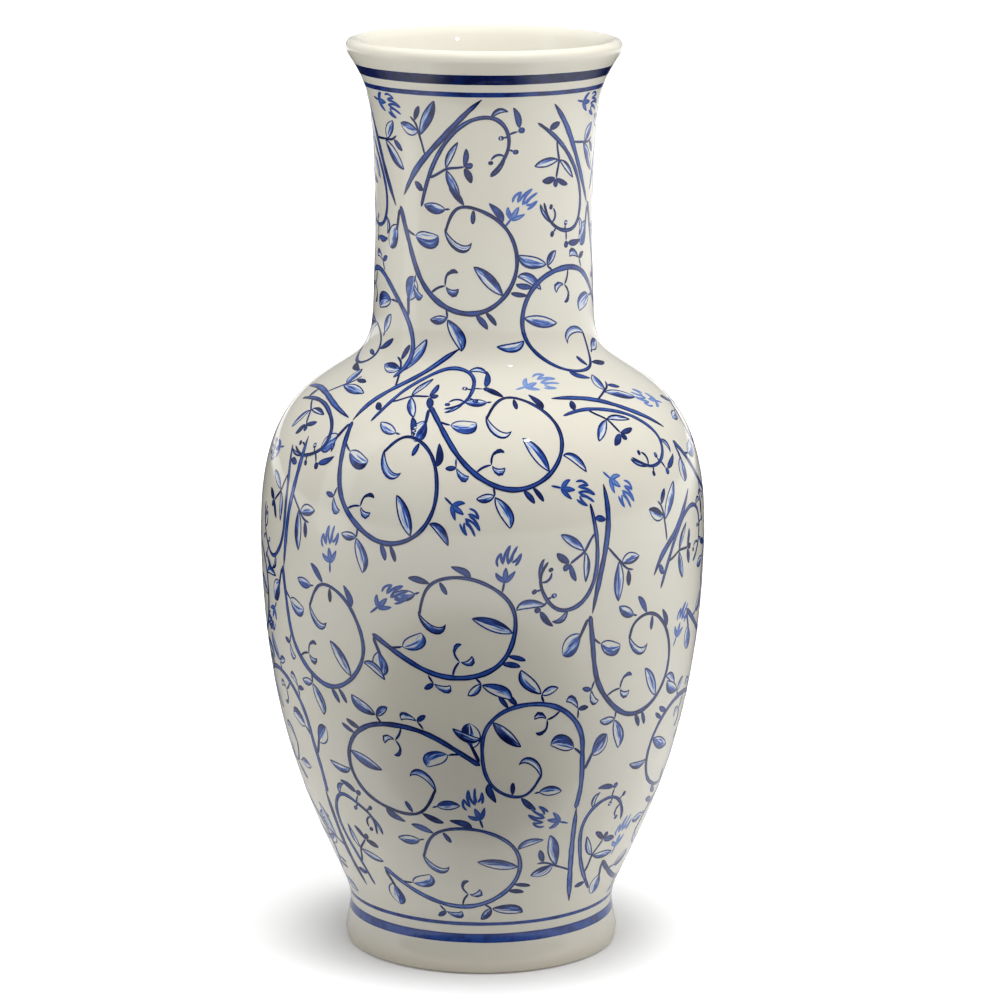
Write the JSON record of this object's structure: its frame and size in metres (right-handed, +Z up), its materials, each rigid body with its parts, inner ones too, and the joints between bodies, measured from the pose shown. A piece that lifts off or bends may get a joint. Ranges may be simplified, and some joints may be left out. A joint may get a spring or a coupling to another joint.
{
  "type": "footed vase",
  "caption": "Tall glazed vase turned as one wall: a flared foot, a round belly, a narrow neck and a wide flared mouth with a rounded lip, open inside to hold stems and water.",
  "frame": {"origin": "centre of the foot's underside, on the plane that the vase stands on", "axes": "+Z up along the axis that the vase is turned about"},
  "size_m": [0.1942, 0.1942, 0.4],
  "materials": {
    "milky_glaze": "glossy milky tin glaze over fired clay, wheel turned",
    "cobalt_brushwork": "cobalt blue brushwork under a glossy glaze",
    "bare_clay": "dry unglazed fired clay on the foot ring"
  },
  "bodies": {
    "root": {"vase_body": "milky_glaze"}
  },
  "joints": []
}
